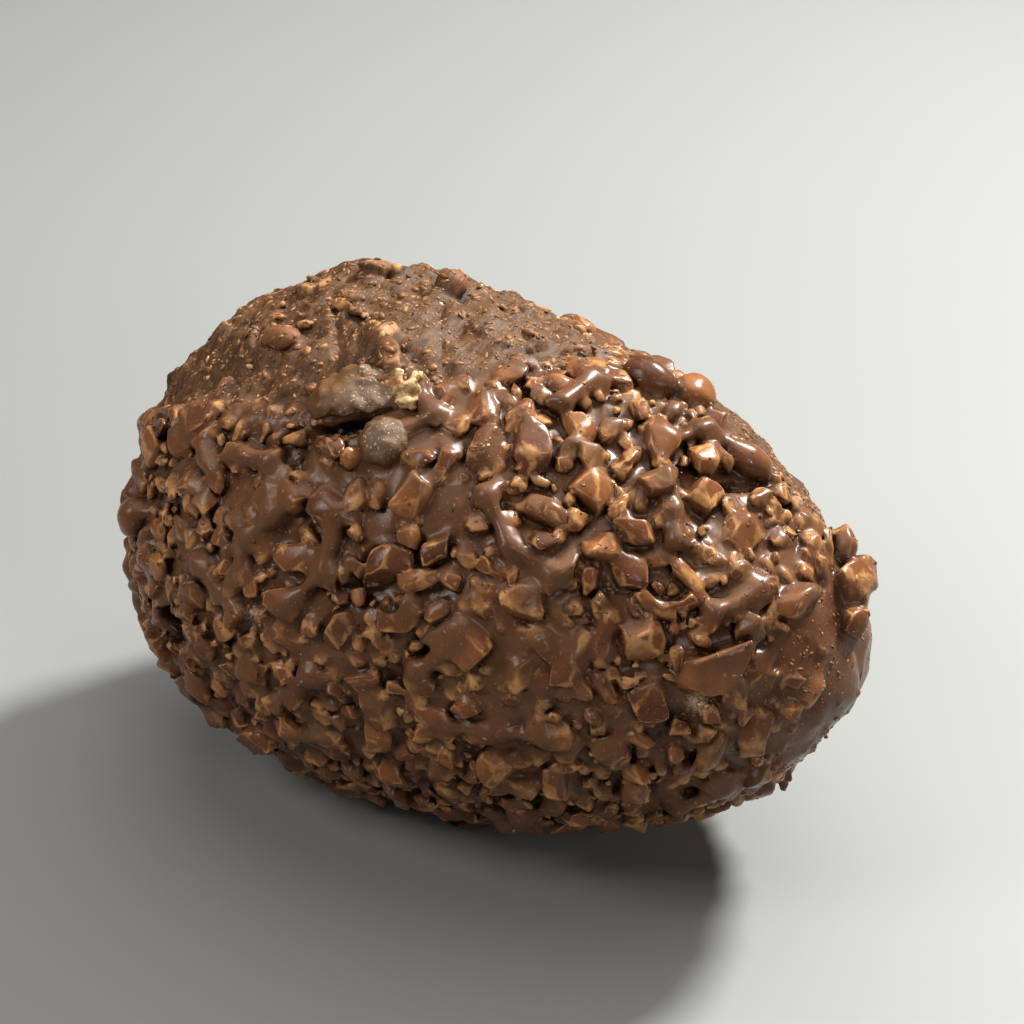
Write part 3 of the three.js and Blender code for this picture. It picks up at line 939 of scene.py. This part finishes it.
def chocolateMaterial(name):
    make = Maker(name)
    film = make.attribute("film")  # 1 where a nut is just under the surface
    edge = make.attribute("edge")  # 1 on a nut's cut edges
    tint = make.attribute("tint")  # one value for each nut
    bare = make.attribute("bare")
    creaseShade = make.attribute("creaseShade")
    height = make.attribute("height")
    deep = make.attribute("deep")  # 1 far down in a hollow, where black is painted as its shade
    dust = make.attribute("dust")  # near broken nut that left its powder
    broad = make.noise(14, 3)
    middling = make.noise(4.5, 3, 0.6)
    fine = make.noise(1.6, 4, 0.6)
    grain = make.noise(0.6, 3, 0.6)
    streak = make.noise(0.7, 3, 0.65, make.stretched((1, 0.14, 0.14)))
    plain = make.mix(broad.ramp(0.46, 0.68), look["chocolate"], look["oliveChocolate"])
    worn = middling * 0.3 + fine * 0.25 + streak * 0.45
    matt = make.mix(worn.ramp(0.4, 0.6), look["scrapedDark"], look["scraped"])
    plain = make.mix(bare * 0.9, plain, matt)
    share = (tint + (middling - 0.5) * 0.7).clamped()
    nut = make.mix(share.ramp(0, 0.35), look["lightFilm"], look["filmOnNut"])
    nut = make.mix(share.ramp(0.55, 1), nut, look["darkFilmAndShade"])
    # painted shade: nuts darker low down, close to the coat
    nut = make.mix(height.ramp(0.4, 0) * 0.35, nut, look["darkFilmAndShade"])
    thinness = film * (fine * 0.5 + 0.6).clamped() * (1 - bare * 0.25)
    colour = make.mix(thinness, plain, nut)
    # thin chocolate over the nuts' cut edges shows them golden; lightened further as a painted rim
    # highlight
    thin = (edge * 1.9 - 1.4 + (middling - 0.5) * 2.0).clamped() * film
    colour = make.mix(thin * 0.8, colour, look["thinEdgeAndHighlight"])
    # painted shade: darker brown in the creases and recesses between the nuts
    colour = make.mix((creaseShade * 1.5 - 0.15).clamped() * 0.9, colour, look["paintedCreaseShade"])
    # painted shade: black far down in the hollows and in the hole at the blunt end
    colour = make.mix(deep * 0.92, colour, look["paintedHoleShade"])
    specks = make.noise(0.9, 1, 0.5).ramp(0.675, 0.705)
    colour = make.mix(specks * (bare * 0.3 + 0.5), colour, look["crumbLight"])
    blotches = make.noise(2.2, 1, 0.5).ramp(0.65, 0.68)
    colour = make.mix(blotches * (bare * 0.1 + 0.5), colour, look["crumbTan"])
    powder = (dust + (grain - 0.5) * 1.6 - 0.35).clamped()
    colour = make.mix(powder * 0.75, colour, look["powder"])
    roughness = 0.31 - film * 0.06 + bare * 0.28 + powder * 0.3
    roughness = roughness + (grain - 0.5) * 0.15 + (broad - 0.5) * 0.15
    rough = 0.45 + film * 0.4 + bare * 1.1
    relief = (middling * 0.35 + fine * 0.4 + grain * 0.2) * rough + streak * bare * 2.2
    normal = make.bump(relief, 0.6, 0.26)
    return make.finish(colour, roughness, normal, 0.19)


def crumbMaterial(name):
    make = Maker(name)
    tint = make.attribute("tint")
    fine = make.noise(0.8, 3)
    colour = make.mix(tint.ramp(0, 0.2), look["crumbDark"], look["crumbTan"])
    colour = make.mix(tint.ramp(0.4, 0.75), colour, look["crumbLight"])
    colour = make.mix(tint.ramp(0.965, 0.99) * 0.8, colour, look["creamNut"])
    colour = make.mix(fine.ramp(0.5, 0.75) * 0.4, colour, look["filmOnNut"])
    return make.finish(colour, 0.45 + fine * 0.15, make.bump(fine, 0.3, 0.1), 0.25)


def bloomMaterial(name):  # chocolate gone grey with white flecks, brown where it was rubbed
    make = Maker(name)
    bloomed = make.attribute("bloomed")
    broad = make.noise(4, 3, 0.6)
    fine = make.noise(1.1, 4, 0.65)
    grain = make.noise(0.45, 3, 0.6)
    dull = (bloomed * 1.3 - 0.3 + (broad - 0.5) * 2.2 + (fine - 0.5) * 0.8).clamped()
    colour = make.mix(dull, look["scraped"], look["bloom"])
    colour = make.mix(fine.ramp(0.42, 0.3) * 0.7, colour, look["scrapedDark"])
    flecks = make.noise(0.8, 1, 0.5).ramp(0.63, 0.68) * bloomed * 0.85
    colour = make.mix(flecks, colour, look["bloomSpeck"])
    normal = make.bump(fine * 0.6 + grain * 0.4, 0.8, 0.3)
    return make.finish(colour, 0.42 + dull * 0.25, normal, 0.22)


def brokenNutMaterial(name):  # a nut broken open: cream inside, brown skin in the folds
    make = Maker(name)
    broad = make.noise(3, 3, 0.6)
    fine = make.noise(1.0, 4, 0.65)
    colour = make.mix(broad.ramp(0.4, 0.6), look["crumbLight"], look["creamNut"])
    colour = make.mix(fine.ramp(0.46, 0.34) * 0.85, colour, look["filmOnNut"])
    return make.finish(colour, 0.55 + fine * 0.1, make.bump(fine, 0.7, 0.3), 0.2)


view = {
    "focal": 2500,  # pixels, for a frame 1024 wide
    "frameSize": 1024,
    "sensor": 36,
    "azimuth": 24.75,
    "downward": 31.5,
    "roll": -2.5,
    "eggPixel": (495.7, 562.1),
    "distance": 638.7,  # millimetres from the lens to the egg's middle, along the view
}


def placeCamera():
    downward, roll, azimuth = (math.radians(view[key]) for key in ("downward", "roll", "azimuth"))
    forward = np.array([0, math.cos(downward), -math.sin(downward)])
    right = np.array([1.0, 0, 0])
    down = np.cross(forward, right)
    turnedRight = right * math.cos(roll) + down * math.sin(roll)
    turnedDown = down * math.cos(roll) - right * math.sin(roll)
    half = view["frameSize"] / 2
    sideways, below = ((pixel - half) / view["focal"] for pixel in view["eggPixel"])
    toEgg = (turnedRight * sideways + turnedDown * below + forward) * view["distance"]
    spin = np.array(Matrix.Rotation(azimuth, 3, "Z"))
    camera = bpy.data.objects.new("camera", bpy.data.cameras.new("camera"))
    camera.data.sensor_width = view["sensor"]
    camera.data.lens = view["focal"] / view["frameSize"] * view["sensor"]
    columns = np.stack([spin @ turnedRight, -spin @ turnedDown, -spin @ forward], axis=1)
    where = (np.array(egg["centre"]) - spin @ toEgg) / 1000
    matrix = Matrix(columns.tolist()).to_4x4()
    matrix.translation = where.tolist()
    camera.matrix_world = matrix
    bpy.context.scene.collection.objects.link(camera)
    bpy.context.scene.camera = camera


studio = {
    "floorSize": 6,
    "floorColour": (0.2, 0.203, 0.2),
    "sky": (1.0, 0.95, 0.9),
    "skyStrength": 0.06,
    "target": (0, 0, 0.06),  # what the lamps point at
    "lamps": (  # turn from the camera's right, height in degrees, distance, size, watts, colour
        ("key", 44, 46, 1.2, 0.22, 39, (0.98, 0.985, 0.94)),
        ("overhead", 80, 78, 1.1, 1.3, 10.8, (1.0, 0.98, 0.95)),
        ("fill", 205, 42, 1.3, 0.5, 9, (1.0, 0.96, 0.92)),
        ("front", 300, 30, 1.3, 0.35, 3.2, (1.0, 0.96, 0.92)),
    ),
}


def placeLights():
    world = bpy.data.worlds.new("studio")
    world.use_nodes = True
    background = world.node_tree.nodes["Background"]
    background.inputs["Color"].default_value = (*studio["sky"], 1)
    background.inputs["Strength"].default_value = studio["skyStrength"]
    bpy.context.scene.world = world
    target = np.array(studio["target"])
    for name, turn, height, distance, size, watts, colour in studio["lamps"]:
        lamp = bpy.data.lights.new(name, "AREA")
        lamp.shape = "DISK"
        lamp.size = size
        lamp.energy = watts
        lamp.color = colour
        angle = math.radians(turn + view["azimuth"])
        rise = math.radians(height)
        level = math.cos(rise)
        away = np.array([level * math.cos(angle), level * math.sin(angle), math.sin(rise)])
        holder = bpy.data.objects.new(name, lamp)
        holder.location = target + away * distance
        holder.rotation_euler = Vector(away.tolist()).to_track_quat("Z", "Y").to_euler()
        bpy.context.scene.collection.objects.link(holder)


def placeFloor():
    half = studio["floorSize"] / 2
    corners = [(-half, -half, 0), (half, -half, 0), (half, half, 0), (-half, half, 0)]
    mesh = bpy.data.meshes.new("floor")
    mesh.from_pydata(corners, [], [(0, 1, 2, 3)])
    floor = bpy.data.objects.new("floor", mesh)
    bpy.context.scene.collection.objects.link(floor)
    make = Maker("floor")
    darker = tuple(c * 0.85 for c in studio["floorColour"])
    tone = make.mix(make.noise(180, 3) * 0.3, studio["floorColour"], darker)
    mesh.materials.append(make.finish(tone, 0.6, make.bump(make.noise(30, 2), 0.05, 0.2)))


placeCamera()
placeLights()
placeFloor()
print("camera, lights and floor are set")

luck = np.random.default_rng(coat["seed"])
quiet = calmPlaces()
large = largePieces()
small = smallPieces(large, quiet)
for piece in large + small:
    if piece["at"] in pieceTints:
        piece["tint"] = pieceTints[piece["at"]]
print("placed", len(large), "large and", len(small), "small nut pieces")

skin = eggField()
for wave, height in coat["waves"]:
    skin += whole.noise(wave, luck) * np.float32(height)
poolChocolate(skin, quiet)
scrapeCrown(skin, luck)
rippleBack(skin, luck)
plainEgg = skin.astype(np.float16)
for hollow in hollows:
    cutHollow(skin, hollow, coat["hollowRise"], crack["ragged"])
print("egg shaped")

chunks, bitLayer, grit = NutLayer(), NutLayer(), NutLayer()
chunks.stamp([piece for piece in large if piece["at"] not in oddPlaces], skin, luck)
print("large pieces stamped")
bitLayer.stamp([piece for piece in small if piece["long"] >= bits["fineFrom"]], skin, luck)
grit.stamp([piece for piece in small if piece["long"] < bits["fineFrom"]], skin, luck)
print("small pieces stamped")
layRuns(large, skin, luck)
middle = surfacePoint(*crack["middle"])
crackGrid = Grid(middle - crack["reach"], middle + crack["reach"], crack["step"])
crackFields = {name: crackField(name, crackGrid, luck) for name in crackParts}
for part in crackParts.values():  # the coat comes up round their feet
    axes = surfaceAxes(*part["at"]) @ np.array(Matrix.Rotation(math.radians(part["turn"]), 3, "Z"))
    middle = surfacePoint(*part["at"]) + axes[:, 2] * (part["half"][2] - part["proud"] + seat["lower"])
    block = whole.block(middle - seat["reach"], middle + seat["reach"])
    half = np.array(part["half"]) * seat["share"]
    shape = {"middle": middle, "axes": axes, "half": half, "round": True}
    skin[block] = softMin(skin[block], pieceField(whole, shape, block, 0)[0], np.float32(seat["blend"]))
noise = sum(whole.noise(wave, luck) * np.float32(height) for wave, height in coat["nutWaves"])
skin += noise
for layer in (chunks, bitLayer, grit):
    layer.field += noise
for field in (skin, chunks.field, bitLayer.field, grit.field):
    cutHollow(field, crack["opening"], 0, crack["ragged"])
    cutHollow(field, bluntEnd["hole"], coat["hollowRise"], crack["ragged"])
np.maximum(skin, tableField(), out=skin)
print("runs, waves and the crack are made")

chocolateLook = chocolateMaterial("milk chocolate")
# where broken nut left its powder: along, around
powder = {
    "spots": [(-70.5, 172.7), (-33, 172.3), (8.9, 123.4), (71.3, 166.5), (-16, 117), (38.5, 69)],
    "reach": 3.0,
}
powderPlaces = surfacePoint(*np.array(powder["spots"], dtype=float).T)


def shadeAttributes(piece):
    points, normals = readPoints(piece)
    overNut = np.full(len(points), 9, dtype=np.float32)
    edgeGap = np.full(len(points), 9, dtype=np.float32)
    tint = np.zeros(len(points), dtype=np.float32)
    for layer in (chunks, bitLayer, grit):
        distance = whole.sample(layer.field, points)
        closer = distance < overNut
        overNut[closer] = distance[closer]
        edgeGap[closer] = whole.nearest(layer.edge, points[closer]) / edgeSteps
        tint[closer] = whole.nearest(layer.tint, points[closer]) / 255
    around = np.degrees(np.arctan2(points[:, 2], points[:, 1])) % 360
    near = whole.sample(skin, points + normals * 1.0)
    far = whole.sample(skin, points + normals * 3.0) / 3.0
    base = whole.sample(plainEgg, points)
    apart = np.linalg.norm(points[:, None] - powderPlaces[None], axis=2).min(axis=1)
    toHole = np.linalg.norm(points - surfacePoint(*bluntEnd["hole"][:2]), axis=1)
    return {
        "film": (1 - smoothStep(0.0, 0.55, overNut)) * smoothStep(0.1, 1.0, base),
        "edge": 1 - smoothStep(0.1, 1.0, edgeGap),
        "tint": tint,
        "bare": bareness(np.clip(points[:, 0], -97, 97), around),
        # how closed in a point is, for the painted shade in creases
        "creaseShade": np.clip(1 - 0.5 * (near + far), 0, 1),
        # how high above the plain egg a point lies, for the painted shade low on the nuts
        "height": smoothStep(0, 4, base),
        # painted shade: 1 far down in a hollow and within the blunt end's hole
        "deep": 1 - np.minimum(smoothStep(-3.0, -0.8, base), smoothStep(*bluntEnd["shade"], toHole)),
        "dust": np.exp(-(apart / powder["reach"]) ** 2),
    }


crumbs = {
    "seed": 9,
    "count": 6800,
    "size": (0.4, 1.4),
    "crownGrowth": 0.9,  # so much larger on the crown
    "highest": 8.0,
    "sunk": -0.08,
    "sizeCurve": 2.4,  # above 1, more of them are small
    "narrowEndShare": 0.6,  # the narrow end holds this much of the crown's share
    "amongNuts": 0.26,  # and the places among the nuts this much
    "powderGrains": 26,  # round each powder spot
    "powderSpread": 1.5,
    "rubble": 60,  # in the crack
    "rubbleSize": (1.0, 2.4),
    "rubbleSpread": (4, 1.2),  # along the crack and across it
    "stretch": (0.9, 1.7),  # a grain's three axes
    "narrow": (0.5, 1),
    "flat": (0.35, 0.6),
    "broken": (0.65, 1.25),  # how far its corners stand off
}


def crumbPlaces(luck):  # along, around, tint
    tries = crumbs["count"] * 8
    along = luck.uniform(-1, 1, tries) * (egg["halfLength"] - 1)
    around = luck.uniform(0, 360, tries)
    keep = luck.uniform(size=tries) < 1 - nuts["endThinning"] * (along / egg["halfLength"]) ** 2
    narrowEnd = smoothStep(narrowEndStart - 6, narrowEndStart + 4, along)
    bare = np.maximum(bareness(along, around), narrowEnd * crumbs["narrowEndShare"])
    keep &= luck.uniform(size=tries) < crumbs["amongNuts"] + (1 - crumbs["amongNuts"]) * bare
    along, around = along[keep][:crumbs["count"]], around[keep][:crumbs["count"]]
    tint = luck.uniform(size=len(along))
    for spotAlong, spotAround in powder["spots"]:
        shift = luck.normal(size=(2, crumbs["powderGrains"])) * crumbs["powderSpread"]
        along = np.append(along, np.clip(spotAlong + shift[0], -96, 96))
        around = np.append(around, spotAround + shift[1] / 1.1)
        tint = np.append(tint, luck.uniform(0.6, 1, crumbs["powderGrains"]))
    rubble = luck.normal(size=(2, crumbs["rubble"]))
    alongCrack, acrossCrack = crumbs["rubbleSpread"]
    middleAlong, middleAround = crack["opening"][:2]
    along = np.append(along, middleAlong + rubble[0] * alongCrack)
    around = np.append(around, middleAround + 2 - rubble[0] * 1.8 + rubble[1] * acrossCrack)
    tint = np.append(tint, luck.uniform(0, 0.3, crumbs["rubble"]))
    return along, around, tint


def crumbMesh():  # tiny broken grains of nut, pressed flat into whatever surface is there
    luck = np.random.default_rng(crumbs["seed"])
    along, around, tint = crumbPlaces(luck)
    count = len(along)
    foot = surfacePoint(along, around)
    angle = np.radians(around)
    slope = radiusAt(along + egg["slopeStep"]) - radiusAt(along - egg["slopeStep"])
    outward = np.stack([-slope, np.cos(angle), np.sin(angle)], axis=1)
    outward /= np.linalg.norm(outward, axis=1)[:, None]
    lift = np.full(count, crumbs["highest"])
    for _ in range(24):
        lift -= np.clip(whole.sample(skin, foot + outward * lift[:, None]), -1, 1) * 0.9
    middle = foot + outward * lift[:, None]
    shifts = np.eye(3) * 0.6
    normal = np.stack(
        [whole.sample(skin, middle + s) - whole.sample(skin, middle - s) for s in shifts], axis=1
    )
    normal /= np.linalg.norm(normal, axis=1)[:, None] + 1e-9
    low, high = crumbs["size"]
    size = low + (high - low) * luck.uniform(size=count) ** crumbs["sizeCurve"]
    size *= 1 + crumbs["crownGrowth"] * bareness(along, around % 360)
    size[-crumbs["rubble"]:] = luck.uniform(*crumbs["rubbleSize"], crumbs["rubble"])
    ball = bpy.data.meshes.new("grain")
    build = bmesh.new()
    bmesh.ops.create_icosphere(build, subdivisions=1, radius=0.5)
    build.to_mesh(ball)
    build.free()
    shape = np.array([v.co for v in ball.vertices])
    faces = np.array([p.vertices[:] for p in ball.polygons])
    bpy.data.meshes.remove(ball)
    first = np.cross(normal, luck.normal(size=(count, 3)))
    first /= np.linalg.norm(first, axis=1)[:, None]
    frames = np.stack([first, np.cross(normal, first), normal], axis=1)
    squash = np.stack(
        [luck.uniform(*crumbs[name], count) for name in ("stretch", "narrow", "flat")], axis=1
    )
    grains = shape[None] * luck.uniform(*crumbs["broken"], (count, len(shape), 1))
    grains = grains * squash[:, None] @ frames
    grains = grains * size[:, None, None] + (middle + normal * (size * crumbs["sunk"])[:, None])[:, None]
    mesh = bpy.data.meshes.new("nut_crumbs")
    every = (faces[None] + (np.arange(count) * len(shape))[:, None, None]).reshape(-1, 3)
    mesh.from_pydata(grains.reshape(-1, 3).tolist(), [], every.tolist())
    piece = bpy.data.objects.new("nut_crumbs", mesh)
    bpy.context.scene.collection.objects.link(piece)
    return piece, {"tint": np.repeat(tint, len(shape))}


buried = {"proud": 0.06, "chunks": 1.1, "bits": 0.9, "grit": 0.7}


def showNut(layer, depth):  # a nut's own surface, from just proud of the coat to just beneath it
    field = layer.field.astype(np.float32)
    field -= np.float32(buried["proud"])
    return np.maximum(field, -(skin + np.float32(depth)), out=field)


coatPiece = whole.mesh("chocolate_coat", skin, coat["triangles"])
finishPiece(coatPiece, chocolateLook, shadeAttributes(coatPiece))
for name, layer, depth in (
    ("nut_chunks", chunks, buried["chunks"]), ("nut_bits", bitLayer, buried["bits"]),
    ("nut_grit", grit, buried["grit"]),
):
    piece = whole.mesh(name, showNut(layer, depth), coat["triangles"])
    finishPiece(piece, chocolateLook, shadeAttributes(piece))
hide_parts("chocolate_egg")
crumbPiece, crumbTint = crumbMesh()
finishPiece(crumbPiece, crumbMaterial("nut crumbs"), crumbTint)

bloomLook = bloomMaterial("bloomed chocolate")
brokenLook = brokenNutMaterial("broken nut")
for name, pieceName in (("flap", "crack_flap"), ("lump", "bloomed_lump"), ("brokenNut", "broken_nut")):
    piece = crackGrid.mesh(pieceName, crackFields[name], coat["oddTriangles"])
    if name == "brokenNut":
        finishPiece(piece, brokenLook, {})
        continue
    points, _ = readPoints(piece)
    at = crackParts[name]["at"]
    lengthwise, _, inward = ((points - surfacePoint(*at)) @ surfaceAxes(*at)).T
    if name == "flap":  # it is grey where it stands up and runs out into the brown crown
        bloomed = smoothStep(-0.5, 2.5, -inward) * smoothStep(-5, 3, lengthwise)
    else:
        bloomed = smoothStep(1.0, 4.2, -inward)
    finishPiece(piece, bloomLook, {"bloomed": bloomed})
print("all pieces are made")

bpy.context.scene.view_settings.view_transform = "Standard"
